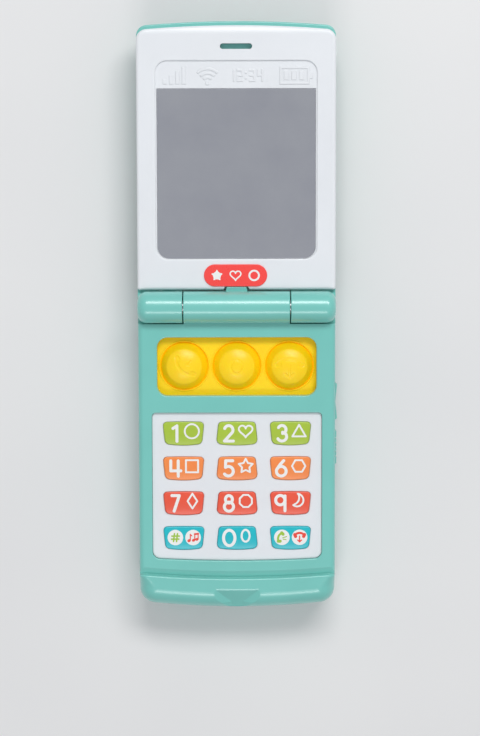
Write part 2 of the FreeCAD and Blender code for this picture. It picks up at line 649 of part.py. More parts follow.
def lid_bezel():
    """The white inner face of the lid: screen recess, raised marks, earpiece slot and screw posts."""
    plate = slab(BEZEL_HALF, LID_LOW_Y, BEZEL_HIGH_Y, LID_RIM_Z, FACE_Z, 0, LID_SAG, 1.0, LID_CORNER_R)
    plate = plate.cut(bezel_roll())
    around = [e for e in plate.Edges if e.BoundBox.ZMin > FACE_Z - 1.4 and e.CenterOfMass.y > LID_LOW_Y + 0.6]
    free = [e for e in around if abs(e.CenterOfMass.x) > 5 or e.CenterOfMass.y > BEZEL_HIGH_Y - 1]
    plate = plate.makeFillet(1.2, free)
    half, low, high = HALF_WIDTH - WALL - 0.2, LID_LOW_Y + WALL + 0.2, LID_HIGH_Y - WALL - 0.2
    rib = 1.4
    skirt = slab(half, low, high, 19.0, LID_RIM_Z + 0.5, 0, LID_SAG, 1.5, 3.5)
    inner = slab(half - rib, low + rib, high - rib, 18.0, LID_RIM_Z, 0, LID_SAG, 1, 3)
    plate = plate.fuse(skirt.cut(inner))
    low, high = SCREEN_LOW_Y, SCREEN_HIGH_Y
    mirror_z = FACE_Z - SCREEN_RECESS - MIRROR_THICK - TAPE_THICK
    bed = box(-SCREEN_HALF - 1, SCREEN_HALF + 1, low - 1, MIRROR_HIGH_Y + 1.5, mirror_z - 1.2, LID_RIM_Z + 1)
    plate = plate.fuse(bed)
    floor = FACE_Z - SCREEN_RECESS
    plate = plate.cut(slab(SCREEN_HALF, low, high, floor, FACE_Z + 1, 0, 0, SCREEN_R, SCREEN_R))
    face_edges = [e for e in level_edges(plate, FACE_Z) if abs(e.CenterOfMass.x) < SCREEN_HALF + 0.1]
    rim = [e for e in face_edges if low - 0.1 < e.CenterOfMass.y < high + 0.1]
    plate = plate.makeFillet(0.45, rim)
    top = MIRROR_HIGH_Y + 0.1
    plate = plate.cut(slab(MIRROR_HALF + 0.1, low + 0.1, top, mirror_z, FACE_Z, 0, 0, SCREEN_R - 0.1, 0.4))
    plate = plate.cut(pill(SLOT_LENGTH, SLOT_WIDTH, 0, SLOT_Y, 18, FACE_Z + 1))
    plate = plate.multiFuse(status_icons(floor - 0.2, floor + ICON_RELIEF))
    for x, y in LID_SCREWS:
        plate = plate.fuse(post(x, y, 2.5, LID_BACK_Z + 3.5, LID_RIM_Z + 0.5))
        plate = plate.cut(post(x, y, SCREW_SHAFT_R, LID_BACK_Z + 3, LID_RIM_Z + 0.6))
    return plate.cut(lid_relief()).removeSplitter()


def mirror_panel():
    """The flat acrylic mirror that plays the screen."""
    top, low = FACE_Z - SCREEN_RECESS, SCREEN_LOW_Y + 0.2
    panel = slab(MIRROR_HALF, low, MIRROR_HIGH_Y, top - MIRROR_THICK, top, 0, 0, SCREEN_R - 0.2, 0.4)
    return panel.makeChamfer(0.15, level_edges(panel, top))


def mirror_tape():
    """The foam tape that holds the mirror in its pocket."""
    low_z = FACE_Z - SCREEN_RECESS - MIRROR_THICK - TAPE_THICK
    half, low, high = MIRROR_HALF - 2, SCREEN_LOW_Y + 2, MIRROR_HIGH_Y - 2
    return slab(half, low, high, low_z, low_z + TAPE_THICK, 0, 0, 3, 3)


def lid_badge():
    """The plain raised oval badge below the screen."""
    badge = pill(25.2, 8.8, -0.4, HINGE_Y + 12.6, FACE_Z, FACE_Z + 0.5)
    return badge.makeFillet(0.3, level_edges(badge, FACE_Z + 0.5))


# ---- bubble panel ----
def bubble_pad():
    """The yellow silicone sheet behind the window, with a lipped round opening for each bubble."""
    floor_low, floor_z = BUBBLE_FLOOR_Z - 1.3, BUBBLE_FLOOR_Z
    pad = bubble_slab(2.2, floor_low, floor_z, 5.5)
    hole_r = BUBBLE_R + BUBBLE_GROOVE
    lip = (
        (hole_r - 0.1, floor_z - 0.2),
        (hole_r + 0.5, floor_z - 0.2),
        (hole_r + 0.5, floor_z + 0.1),
        (hole_r + 0.3, floor_z + 0.25),
        (hole_r + 0.1, floor_z + 0.25),
        (hole_r - 0.1, floor_z + 0.1),
    )
    for x in BUBBLE_XS:
        pad = pad.fuse(turned(lip, x, BUBBLE_Y)).cut(post(x, BUBBLE_Y, hole_r, floor_low - 2, FACE_Z))
    for x, y in CASE_SCREWS + BOARD_SCREWS:
        pad = pad.cut(post(x, y, 3.4, floor_low - 1, floor_z + 1))
    return pad.removeSplitter()


def dome_form(x, inset):
    """A flat-topped cone with a spherical cap and a soft shoulder, smaller by inset all over."""
    low, foot = BUBBLE_FLOOR_Z - 1.3, BUBBLE_FLOOR_Z - 0.2
    cap_z = BUBBLE_FLOOR_Z + BUBBLE_HEIGHT - BUBBLE_CAP_R
    slope = math.tan(math.radians(BUBBLE_SLOPE))
    foot_r, rise = BUBBLE_R - inset, 8.0
    cone = Part.makeCone(foot_r, foot_r - rise / slope, rise, Vector(x, BUBBLE_Y, foot))
    form = post(x, BUBBLE_Y, foot_r, low - (1 if inset else 0), foot).fuse(cone)
    form = form.common(Part.makeSphere(BUBBLE_CAP_R - inset, Vector(x, BUBBLE_Y, cap_z)))
    shoulder = [e for e in form.Edges if e.BoundBox.ZMin > foot + 1 and e.BoundBox.XLength > BUBBLE_R]
    return form.makeFillet(2.0, shoulder)


def bubble(x):
    """One hollow popping dome, flatter on top than at its edge, with the stem that works its switch."""
    dome = dome_form(x, 0).cut(dome_form(x, BUBBLE_WALL))
    stem_low = SMALL_BOARD_TOP_Z + SWITCH_HEIGHT + BUBBLE_TRAVEL + 0.2
    stem_high = BUBBLE_FLOOR_Z + BUBBLE_HEIGHT - 0.6
    return dome.fuse(post(x, BUBBLE_Y, 2.2, stem_low, stem_high)).removeSplitter()


# ---- keypad ----
def key_centre(row, column):
    """The middle of a key in plan."""
    return (column - 1) * KEY_PITCH_X, KEY_TOP_ROW_Y - row * KEY_PITCH_Y


def key_prism(row, column, grow, z_low, z_high):
    """A key's tapered outline: the outer columns are wider above, the middle column is wider below."""
    x, y = key_centre(row, column)
    upper, lower = (KEY_SHORT, KEY_LONG) if column == 1 else (KEY_LONG, KEY_SHORT)
    upper_half, lower_half = upper / 2 + grow, lower / 2 + grow
    high, low = y + KEY_DEPTH / 2 + grow, y - KEY_DEPTH / 2 - grow
    bow = 0.7
    left_high, right_high = Vector(x - upper_half, high - 0.2, z_low), Vector(x + upper_half, high - 0.2, z_low)
    left_low, right_low = Vector(x - lower_half, low + bow, z_low), Vector(x + lower_half, low + bow, z_low)
    edges = [
        Part.Arc(left_low, Vector(x, low, z_low), right_low).toShape(),
        Part.makeLine(right_low, right_high),
        Part.Arc(right_high, Vector(x, high, z_low), left_high).toShape(),
        Part.makeLine(left_high, left_low),
    ]
    solid = Part.Face(Part.Wire(edges)).extrude(Vector(0, 0, z_high - z_low))
    return round_uprights(solid, 2.0 + grow, 1.5 + grow)


def key(row, column):
    """One key: crowned cap, retaining flange and the stem over its contact."""
    x, y = key_centre(row, column)
    plate_low = PLATE_TOP_Z - PLATE_THICK
    cap = key_prism(row, column, 0, plate_low - 0.2, KEY_TOP_Z)
    crown_start = Vector(x - KEY_LONG, y, KEY_TOP_Z - KEY_CROWN_R)
    cap = cap.common(Part.makeCylinder(KEY_CROWN_R, 2 * KEY_LONG, crown_start, Vector(1, 0, 0)))
    cap = cap.makeFillet(0.5, [e for e in cap.Edges if e.BoundBox.ZMin > KEY_TOP_Z - 0.8])
    flange_low = plate_low - 1.0
    flange = key_prism(row, column, 0.7, flange_low, plate_low - 0.1)
    stem = post(x, y, 2.0, BOARD_TOP_Z + KEY_TRAVEL + 0.15, flange_low + 0.1)
    return cap.fuse(flange).fuse(stem).removeSplitter()


def keypad_plate():
    """The white plate with twelve key openings, let into the case from below."""
    low_z = PLATE_TOP_Z - PLATE_THICK
    plate = panel_slab(-0.1, low_z, PLATE_TOP_Z)
    flange = panel_slab(1.2, low_z, FACE_Z - WALL)
    plate = plate.fuse(flange)
    for row, names in enumerate(KEY_NAMES):
        for column in range(len(names)):
            plate = plate.cut(key_prism(row, column, KEY_CLEARANCE, low_z - 1, PLATE_TOP_Z + 1))
    return plate.removeSplitter()


def key_mat():
    """The rubber contact mat on the main board: a thin web with a collapsing ring round each key's stem."""
    web_top = BOARD_TOP_Z + 0.7
    ring_top = web_top + 0.9
    ring = ((2.4, BOARD_TOP_Z), (4.6, BOARD_TOP_Z), (4.6, web_top), (3.4, ring_top), (2.4, ring_top))
    mat = slab(29.0, PANEL_LOW_Y + 2.5, PANEL_HIGH_Y - 1.5, BOARD_TOP_Z, web_top, 0, 0, 2, 2)
    for row, names in enumerate(KEY_NAMES):
        for column in range(len(names)):
            x, y = key_centre(row, column)
            mat = mat.fuse(turned(ring, x, y)).cut(post(x, y, 2.4, BOARD_TOP_Z - 1, web_top + 2))
    return mat.removeSplitter()


# ---- electronics ----
def main_board():
    """The main circuit board under the keypad, with an ear beside the bubbles for the upper rocker switch."""
    board = slab(34.0, -48.8, 24.0, BOARD_Z, BOARD_TOP_Z, 0, 0, 2.0, 2.0)
    ear = box(BUBBLE_PITCH + BUBBLE_R + 0.7, 34.0, 20, ROCKER_Y + 7.2, BOARD_Z, BOARD_TOP_Z)
    board = board.fuse(ear).removeSplitter()
    for x, y in BOARD_SCREWS:
        board = board.cut(post(x, y, SCREW_SHAFT_R + 0.2, BOARD_Z - 1, BOARD_TOP_Z + 1))
    return board


def bubble_board():
    """The small board under the bubbles."""
    board = slab(32.0, BUBBLE_Y - 8.5, BUBBLE_Y + 6.2, SMALL_BOARD_Z, SMALL_BOARD_TOP_Z, 0, 0, 2.0, 2.0)
    for x, y in SMALL_BOARD_POSTS:
        board = board.cut(post(x, y, SCREW_SHAFT_R + 0.2, SMALL_BOARD_Z - 1, SMALL_BOARD_TOP_Z + 1))
    return board


def bubble_switches():
    """Three push switches, each with a round button, one under each bubble."""
    parts = []
    half, low = SWITCH_BODY / 2, SMALL_BOARD_TOP_Z
    for x in BUBBLE_XS:
        body = box(x - half, x + half, BUBBLE_Y - half, BUBBLE_Y + half, low, low + 1.4)
        parts.append(body.fuse(post(x, BUBBLE_Y, 1.7, low + 1.0, low + SWITCH_HEIGHT)))
    return Part.makeCompound(parts)


def bubble_lamps():
    """Three light-emitting diodes that shine up into the bubbles."""
    parts = []
    for x in BUBBLE_XS:
        y = BUBBLE_Y - 5.6
        lamp = post(x, y, 1.5, SMALL_BOARD_TOP_Z, SMALL_BOARD_TOP_Z + 1.0)
        dome = Part.makeSphere(1.5, Vector(x, y, SMALL_BOARD_TOP_Z + 1.0))
        parts.append(lamp.fuse(dome.common(post(x, y, 2, SMALL_BOARD_TOP_Z + 1.0, SMALL_BOARD_TOP_Z + 3))))
    return Part.makeCompound(parts)


def sound_chip():
    """The sealed sound chip under the main board."""
    chip = post(-12, 10, 6.0, BOARD_Z - 1.6, BOARD_Z)
    return chip.makeFillet(1.2, level_edges(chip, BOARD_Z - 1.6))


def speaker():
    """The speaker's basket, magnet and two solder tabs."""
    low = FLOOR
    profile = (
        (SPEAKER_R - 2.2, low),
        (SPEAKER_R, low),
        (SPEAKER_R, low + 1.6),
        (8.6, low + 3.0),
        (8.6, low + SPEAKER_HEIGHT),
        (0, low + SPEAKER_HEIGHT),
        (0, low + 3.2),
        (6.4, low + 3.2),
        (7.4, low + 2.0),
        (SPEAKER_R - 2.2, low + 1.0),
    )
    basket = turned(profile, 0, SPEAKER_Y)
    for x in SPEAKER_LEAD_XS:
        basket = basket.fuse(box(x - 0.8, x + 0.8, SPEAKER_Y + 9.4, SPEAKER_Y + 12, low + 2.2, SPEAKER_TAB_Z))
    return basket.removeSplitter()


def speaker_cone():
    """The speaker's diaphragm with its dust cap."""
    low, rim = FLOOR + 0.1, SPEAKER_R - 2.2
    profile = (
        (0, low + 0.4),
        (3.0, low + 0.7),
        (3.4, low + 1.1),
        (9.6, low + 0.3),
        (10.6, low),
        (rim, low),
        (rim, low + 0.4),
        (9.8, low + 0.7),
        (4.6, low + 1.5),
        (0, low + 1.5),
    )
    return turned(profile, 0, SPEAKER_Y)


def battery_cell(index):
    """One AAA cell along X with its button end; the two cells point opposite ways."""
    side = 1 if index == 0 else -1
    y = CELL_YS[index]
    start = Vector(-side * (CELL_LENGTH / 2), y, CELL_Z)
    along = Vector(side, 0, 0)
    body = Part.makeCylinder(CELL_R, CELL_LENGTH - 1.0, start, along)
    body = body.makeFillet(0.5, [e for e in body.Edges if e.BoundBox.XLength < TINY])
    button = Part.makeCylinder(1.9, 1.5, Vector(side * (CELL_LENGTH / 2 - 1.5), y, CELL_Z), along)
    return body.fuse(button)


def contact_springs():
    """The coil springs that press on the flat ends of the cells."""
    wire_r, coil_r, pitch = 0.35, 3.2, 1.3
    parts = []
    for index, y in enumerate(CELL_YS):
        side = 1 if index == 0 else -1
        length = BAY_HALF_X - 1.3 - CELL_LENGTH / 2 - 2 * wire_r
        helix = Part.makeHelix(pitch, length, coil_r)
        circle = Part.Wire(Part.makeCircle(wire_r, Vector(coil_r, 0, 0), Vector(0, 1, 0)))
        coil = Part.Wire(helix).makePipeShell([circle], True, True)
        x = -side * (BAY_HALF_X - 1.25 - wire_r)
        coil.Placement = Placement(Vector(x, y, CELL_Z), Rotation(Vector(0, 0, 1), Vector(side, 0, 0)))
        parts.append(coil)
    return Part.makeCompound(parts)


def contact_plates():
    """The steel plates at the ends of the bay: two with solder tabs, and one that joins the cells."""
    inner, outer = BAY_HALF_X - 1.25, BAY_HALF_X - 0.85
    low, high = CELL_Z - 4.2, CELL_Z + 4.2
    parts = [box(inner, outer, CELL_YS[0] - 4.4, CELL_YS[1] + 4.4, low, high)]
    for y in CELL_YS:
        tab = box(TERMINAL_X, -inner, y - 0.8, y + 0.8, TERMINAL_Z - 0.2, TERMINAL_Z + 0.2)
        parts.append(box(-outer, -inner, y - 4.4, y + 4.4, low, high).fuse(tab).removeSplitter())
    return Part.makeCompound(parts)


# ---- side controls ----
def rocker_bearings():
    """The two lugs inside the right wall, one above and one below, that the rocker's pivots snap into."""
    x, y, half = ROCKER_AXIS_X, ROCKER_Y, SIDE_HEIGHT / 2
    upper = box(x - 1.5, HALF_WIDTH - WALL + 0.2, y - 1.7, y + 1.7, SIDE_Z + half + 1.2, FACE_Z - WALL + 0.2)
    lower = box(x - 1.5, HALF_WIDTH - WALL + 0.2, y - 1.7, y + 1.7, SIDE_Z - half - 2.8, SIDE_Z - half - 1.2)
    hole = post(x, y, ROCKER_PIVOT_R + 0.08, SIDE_Z - half - 4, FACE_Z - WALL)
    return Part.makeCompound([upper.cut(hole), lower.cut(hole)])


def volume_rocker():
    """The volume key in the right wall: raised at both ends, dipped in the middle, on two round pivots."""
    inner, outer = ROCKER_AXIS_X, HALF_WIDTH + 0.8
    half = ROCKER_LENGTH / 2
    low, high = SIDE_Z - SIDE_HEIGHT / 2, SIDE_Z + SIDE_HEIGHT / 2
    face = (
        (inner, ROCKER_Y - half),
        (outer - 0.5, ROCKER_Y - half),
        (outer, ROCKER_Y - half + 0.6),
        (HALF_WIDTH + 0.15, ROCKER_Y),
        (outer, ROCKER_Y + half - 0.6),
        (outer - 0.5, ROCKER_Y + half),
        (inner, ROCKER_Y + half),
    )
    cap = prism_xy(face, low, high)
    flange = box(inner - 0.6, inner + 0.2, ROCKER_Y - half + 0.4, ROCKER_Y + half - 0.4, low - 1, high + 1)
    pivots = post(ROCKER_AXIS_X, ROCKER_Y, ROCKER_PIVOT_R, low - 2.4, high + 1.9)
    return cap.fuse(flange).fuse(pivots).removeSplitter()


def rocker_switches():
    """The two side-push switches behind the rocker, on the main board."""
    parts = []
    for sign in (-1, 1):
        y = ROCKER_Y + sign * 5.0
        body = box(31.0, 33.9, y - 1.6, y + 1.6, BOARD_TOP_Z, BOARD_TOP_Z + 2.0)
        parts.append(body.fuse(box(33.9, 35.3, y - 0.7, y + 0.7, BOARD_TOP_Z + 0.5, BOARD_TOP_Z + 1.5)))
    return Part.makeCompound(parts)


def power_slider():
    """The sliding power control in the right wall: grooved grip, inner flange and the switch's finger."""
    half = SLIDER_LENGTH / 2
    low, high = SIDE_Z - SIDE_HEIGHT / 2, SIDE_Z + SIDE_HEIGHT / 2
    cap = box(HALF_WIDTH - 2.6, HALF_WIDTH + 0.6, SLIDER_Y - half, SLIDER_Y + half, low, high)
    outer = [e for e in cap.Edges if e.BoundBox.XMin > HALF_WIDTH + 0.5]
    cap = cap.makeFillet(0.4, outer)
    for i in range(5):
        y = SLIDER_Y + (i - 2) * 1.8
        cap = cap.cut(box(HALF_WIDTH + 0.2, HALF_WIDTH + 1, y - 0.35, y + 0.35, low - 1, high + 1))
    inner = HALF_WIDTH - 3.4
    flange = box(inner, inner + 1, SLIDER_Y - half + 1, SLIDER_Y + half + 1.2, low - 0.8, high + 1.0)
    finger = box(32.6, HALF_WIDTH - 3.3, SLIDER_Y - 0.7, SLIDER_Y + 0.7, SIDE_Z - 0.2, SIDE_Z + 1.0)
    return cap.fuse(flange).fuse(finger).removeSplitter()


def slide_switch():
    """The slide switch on the main board, with the channel that the power slider's finger runs in."""
    low, high = SLIDER_Y - SLIDER_TRAVEL - 2.6, SLIDER_Y + 2.6
    body = box(31.0, 33.9, low, high, BOARD_TOP_Z, BOARD_TOP_Z + 3.0)
    return body.cut(box(32.2, 40, low + 1.4, high - 1.4, SIDE_Z - 0.5, SIDE_Z + 1.3))


# ---- leads ----
def leads():
    """The insulated leads in the base: speaker to small board, cells to main board, main to small board."""
    lead_r = 0.55
    to_speaker, to_cells, to_small_board = [], [], []
    for x in SPEAKER_LEAD_XS:
        run = (
            (x, SPEAKER_Y + 10.7, SPEAKER_TAB_Z),
            (x, SPEAKER_Y + 10.7, 8.0),
            (x * 2, SPEAKER_Y + 7.5, 8.6),
            (x * 2, SPEAKER_Y + 7.5, SMALL_BOARD_Z),
        )
        to_speaker.append(tube(run, lead_r))
    for y, lane in zip(CELL_YS, (-34.8, -32.8)):
        run = (
            (TERMINAL_X, y, TERMINAL_Z),
            (lane, y, TERMINAL_Z),
            (lane, -6.0, TERMINAL_Z),
            (lane * 0.9, 4.0, TERMINAL_Z),
            (lane * 0.9, 4.0, BOARD_Z),
        )
        to_cells.append(tube(run, lead_r))
    for x in (-18.0, -15.5, -13.0):
        run = ((x, 20.5, BOARD_Z), (x, 20.5, 9.0), (x, 30.0, 7.0), (x, 30.0, SMALL_BOARD_Z))
        to_small_board.append(tube(run, lead_r))
    return {"speaker_leads": to_speaker, "battery_leads": to_cells, "board_leads": to_small_board}


def fasteners():
    """Each group of identical screws."""
    return {
        "case_screws": [screw(x, y, 6.0 - SCREW_HEAD_HEIGHT - 0.02, 15.0) for x, y in CASE_SCREWS],
        "board_screws": [screw(x, y, BOARD_Z - SCREW_HEAD_HEIGHT, 7.2) for x, y in BOARD_SCREWS],
        "small_board_screws": [
            screw(x, y, SMALL_BOARD_TOP_Z + SCREW_HEAD_HEIGHT, 7.0, up=False) for x, y in SMALL_BOARD_POSTS
        ],
        "lid_screws": [screw(x, y, LID_BACK_Z + 2.2 - SCREW_HEAD_HEIGHT, 7.4) for x, y in LID_SCREWS],
        "door_screw": [screw(0, DOOR_SCREW_Y, DOOR_OUT_Z, 8.0)],
    }


def all_nodes():
    """Every sub-part by node name."""
    mirror = (Vector(0, 0, 0), Vector(1, 0, 0))
    bush, pin = hinge_bushes(), hinge_pin()
    nodes = {
        "base_front_shell": base_front_shell(),
        "base_back_shell": base_back_shell(),
        "battery_door": battery_door(),
        "hinge_bush_right": bush,
        "hinge_bush_left": bush.mirror(*mirror),
        "hinge_pin_right": pin,
        "hinge_pin_left": pin.mirror(*mirror),
        "lid_back_shell": lid_back_shell(),
        "lid_bezel": lid_bezel(),
        "mirror_panel": mirror_panel(),
        "mirror_tape": mirror_tape(),
        "lid_badge": lid_badge(),
        "bubble_pad": bubble_pad(),
        "keypad_plate": keypad_plate(),
        "key_mat": key_mat(),
        "main_board": main_board(),
        "bubble_board": bubble_board(),
        "bubble_switches": bubble_switches(),
        "bubble_lamps": bubble_lamps(),
        "sound_chip": sound_chip(),
        "speaker": speaker(),
        "speaker_cone": speaker_cone(),
        "battery_1": battery_cell(0),
        "battery_2": battery_cell(1),
        "contact_springs": contact_springs(),
        "contact_plates": contact_plates(),
        "volume_rocker": volume_rocker(),
        "rocker_switches": rocker_switches(),
        "power_slider": power_slider(),
        "slide_switch": slide_switch(),
    }
    for name, x in zip(("bubble_left", "bubble_middle", "bubble_right"), BUBBLE_XS):
        nodes[name] = bubble(x)
    for row, names in enumerate(KEY_NAMES):
        for column, name in enumerate(names):
            nodes[name] = key(row, column)
    for name, solids in {**leads(), **fasteners()}.items():
        nodes[name] = Part.makeCompound(solids)
    return nodes


def main():
    """Writes one STEP file for each sub-part."""
    os.makedirs("parts", exist_ok=True)
    for name, shape in all_nodes().items():
        shape.exportStep("parts/" + name + ".step")
        print("%-20s solids %d valid %s volume %.1f" % (name, len(shape.Solids), shape.isValid(), shape.Volume))


main()
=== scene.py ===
"""The looks of the toy flip phone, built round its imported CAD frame.

Blender works in metres. A size written in millimetres is multiplied by MM.
"""
import json
import math

import bmesh
import bpy
import numpy as np
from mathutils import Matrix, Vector
from mathutils.bvhtree import BVHTree


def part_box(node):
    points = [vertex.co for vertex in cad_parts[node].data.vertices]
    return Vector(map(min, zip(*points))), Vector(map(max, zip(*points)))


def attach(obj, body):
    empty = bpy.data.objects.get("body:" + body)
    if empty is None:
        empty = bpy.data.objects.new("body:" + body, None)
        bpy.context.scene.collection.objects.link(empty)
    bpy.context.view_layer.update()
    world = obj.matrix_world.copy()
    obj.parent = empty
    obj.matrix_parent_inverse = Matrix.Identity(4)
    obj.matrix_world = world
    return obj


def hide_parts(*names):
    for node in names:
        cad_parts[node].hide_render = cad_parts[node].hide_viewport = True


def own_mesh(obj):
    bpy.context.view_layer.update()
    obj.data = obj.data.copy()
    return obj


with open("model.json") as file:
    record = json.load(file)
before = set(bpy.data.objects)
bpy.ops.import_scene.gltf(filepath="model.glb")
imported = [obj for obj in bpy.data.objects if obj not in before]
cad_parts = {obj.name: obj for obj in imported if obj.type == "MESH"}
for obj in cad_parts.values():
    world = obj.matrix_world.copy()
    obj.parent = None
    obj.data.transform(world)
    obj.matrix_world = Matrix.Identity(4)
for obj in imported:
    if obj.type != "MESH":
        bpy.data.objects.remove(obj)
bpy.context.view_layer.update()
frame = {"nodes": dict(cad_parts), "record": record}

MM = 0.001
nodes = frame["nodes"]


# ---- colours and materials ----
def linear(rgb):
    """A colour of 0 to 255 screen values as linear RGBA."""
    return [((c / 255 + 0.055) / 1.055) ** 2.4 if c > 10 else c / 3294.6 for c in rgb] + [1.0]


def new_material(name):
    """A node material and its shader."""
    mat = bpy.data.materials.new(name)
    mat.use_nodes = True
    return mat, mat.node_tree.nodes, mat.node_tree.links, mat.node_tree.nodes["Principled BSDF"]


def noise(tree_nodes, links, coords, scale, detail=2.0, stretch=None):
    """A noise texture's 0 to 1 value over the piece's own coordinates."""
    tex = tree_nodes.new("ShaderNodeTexNoise")
    tex.inputs["Scale"].default_value = scale
    tex.inputs["Detail"].default_value = detail
    source = coords
    if stretch:
        mapping = tree_nodes.new("ShaderNodeMapping")
        mapping.inputs["Scale"].default_value = stretch
        links.new(coords, mapping.inputs["Vector"])
        source = mapping.outputs[0]
    links.new(source, tex.inputs["Vector"])
    return tex.outputs[0]


def ranged(tree_nodes, links, value, low, high, from_low=0.3, from_high=0.7):
    """A value stretched to run from low to high."""
    mapped = tree_nodes.new("ShaderNodeMapRange")
    mapped.inputs["From Min"].default_value = from_low
    mapped.inputs["From Max"].default_value = from_high
    mapped.inputs["To Min"].default_value = low
    mapped.inputs["To Max"].default_value = high
    links.new(value, mapped.inputs["Value"])
    return mapped.outputs[0]


def mixed(tree_nodes, links, factor, first, second):
    """A colour between two, by a 0 to 1 value."""
    mix = tree_nodes.new("ShaderNodeMix")
    mix.data_type = "RGBA"
    links.new(factor, mix.inputs[0])
    for socket, colour in ((mix.inputs[6], first), (mix.inputs[7], second)):
        if isinstance(colour, bpy.types.NodeSocket):
            links.new(colour, socket)
        else:
            socket.default_value = colour
    return mix.outputs[2]


# How far, in millimetres, the painted shade in hollows looks for enclosing surfaces.
SHADE_REACH = 5.0


def painted_shade(tree_nodes, links, tone, shade_tone):
    """A colour with painted shade: it turns to the shade colour on steep flanks and in hollows, where less
    light falls.
    """
    parts = tree_nodes.new("ShaderNodeSeparateXYZ")
    links.new(tree_nodes.new("ShaderNodeNewGeometry").outputs["Normal"], parts.inputs[0])
    # Painted shade by slope (steeper faces take more shade colour) and by how enclosed each point is.
    flank_shade = ranged(tree_nodes, links, parts.outputs["Z"], 1, 0, 0.45, 0.99)
    shade = tree_nodes.new("ShaderNodeAmbientOcclusion")
    shade.samples = 8
    shade.inputs["Distance"].default_value = SHADE_REACH * MM
    hollow_shade = ranged(tree_nodes, links, shade.outputs["AO"], 1, 0, 0.45, 0.82)
    shade_amount = tree_nodes.new("ShaderNodeMath")
    shade_amount.operation = "MAXIMUM"
    links.new(flank_shade, shade_amount.inputs[0])
    links.new(hollow_shade, shade_amount.inputs[1])
    return mixed(tree_nodes, links, shade_amount.outputs[0], tone, shade_tone)


GRAIN_DEPTH = 0.02
RIPPLE_DEPTH = 0.06
# How much paler edges are painted, a painted highlight.
EDGE_HIGHLIGHT_LIFT = 0.35


def moulded(
    name, rgb, rough=0.35, vary=0.03, grain=0.06, ripple=0.25, bevel=0.0, edge_highlight=0.12, shade_tone=None, **sockets
):
    """A moulded surface with slightly uneven colour and gloss, a fine grain and a broad ripple.

    bevel is the radius, in millimetres, that edges are shaded to; the next argument is how far those edges
    are painted paler, a painted highlight, and the one after it the colour of painted shade on flanks and
    in hollows. Other arguments are the shader's own sockets.
    """
    mat, tree_nodes, links, shader = new_material(name)
    coords = tree_nodes.new("ShaderNodeTexCoord").outputs["Object"]
    cloud = noise(tree_nodes, links, coords, 45, 3)
    base = linear(rgb)
    lower = [c * (1 - vary) for c in base[:3]] + [1]
    upper = [min(1, c * (1 + vary)) for c in base[:3]] + [1]
    tone = mixed(tree_nodes, links, ranged(tree_nodes, links, cloud, 0, 1), lower, upper)
    speckle = noise(tree_nodes, links, coords, 2600, 2)
    gloss = ranged(tree_nodes, links, speckle, rough * 0.88, rough * 1.12)
    links.new(gloss, shader.inputs["Roughness"])
    fine = tree_nodes.new("ShaderNodeBump")
    fine.inputs["Strength"].default_value = grain
    fine.inputs["Distance"].default_value = GRAIN_DEPTH * MM
    links.new(speckle, fine.inputs["Height"])
    broad = tree_nodes.new("ShaderNodeBump")
    broad.inputs["Strength"].default_value = ripple
    broad.inputs["Distance"].default_value = RIPPLE_DEPTH * MM
    links.new(noise(tree_nodes, links, coords, 90, 1), broad.inputs["Height"])
    if bevel:
        edge = tree_nodes.new("ShaderNodeBevel")
        edge.samples = 6
        edge.inputs["Radius"].default_value = bevel * MM
        links.new(edge.outputs[0], broad.inputs["Normal"])
        apart = tree_nodes.new("ShaderNodeVectorMath")
        apart.operation = "DISTANCE"
        links.new(edge.outputs[0], apart.inputs[0])
        links.new(tree_nodes.new("ShaderNodeNewGeometry").outputs["Normal"], apart.inputs[1])
        # Painted highlight: edges are painted paler where the bevelled normal turns away from the true
        # one.
        edge_highlight_amount = ranged(tree_nodes, links, apart.outputs["Value"], 0, edge_highlight, 0.1, 0.7)
        tone = mixed(tree_nodes, links, edge_highlight_amount, tone, [min(1, c + EDGE_HIGHLIGHT_LIFT) for c in base[:3]] + [1])
    # Painted shade on steep flanks and in hollows, where a shade colour is given.
    if shade_tone:
        tone = painted_shade(tree_nodes, links, tone, linear(shade_tone))
    links.new(tone, shader.inputs["Base Color"])
    links.new(broad.outputs[0], fine.inputs["Normal"])
    links.new(fine.outputs[0], shader.inputs["Normal"])
    for socket, value in sockets.items():
        shader.inputs[socket.replace("_", " ")].default_value = value
    return mat


def metal(name, rgb, rough=0.3, stretch=(1, 1, 12)):
    """A metal with fine drawn lines in its gloss."""
    mat, tree_nodes, links, shader = new_material(name)
    coords = tree_nodes.new("ShaderNodeTexCoord").outputs["Object"]
    lines = noise(tree_nodes, links, coords, 900, 3, stretch)
    links.new(ranged(tree_nodes, links, lines, rough * 0.7, rough * 1.4), shader.inputs["Roughness"])
    base = linear(rgb)
    darker = [c * 0.8 for c in base[:3]] + [1]
    tone = mixed(tree_nodes, links, ranged(tree_nodes, links, lines, 0, 1), darker, base)
    links.new(tone, shader.inputs["Base Color"])
    shader.inputs["Metallic"].default_value = 1.0
    return mat


def mirror_film():
    """Silvered acrylic with the faintest smudging."""
    mat, tree_nodes, links, shader = new_material("mirror")
    coords = tree_nodes.new("ShaderNodeTexCoord").outputs["Object"]
    smudge = noise(tree_nodes, links, coords, 55, 4)
    links.new(ranged(tree_nodes, links, smudge, 0.02, 0.07), shader.inputs["Roughness"])
    cloud = ranged(tree_nodes, links, smudge, 0, 1)
    tone = mixed(tree_nodes, links, cloud, linear((226, 228, 234)), linear((234, 236, 240)))
    links.new(tone, shader.inputs["Base Color"])
    shader.inputs["Metallic"].default_value = 1.0
    return mat


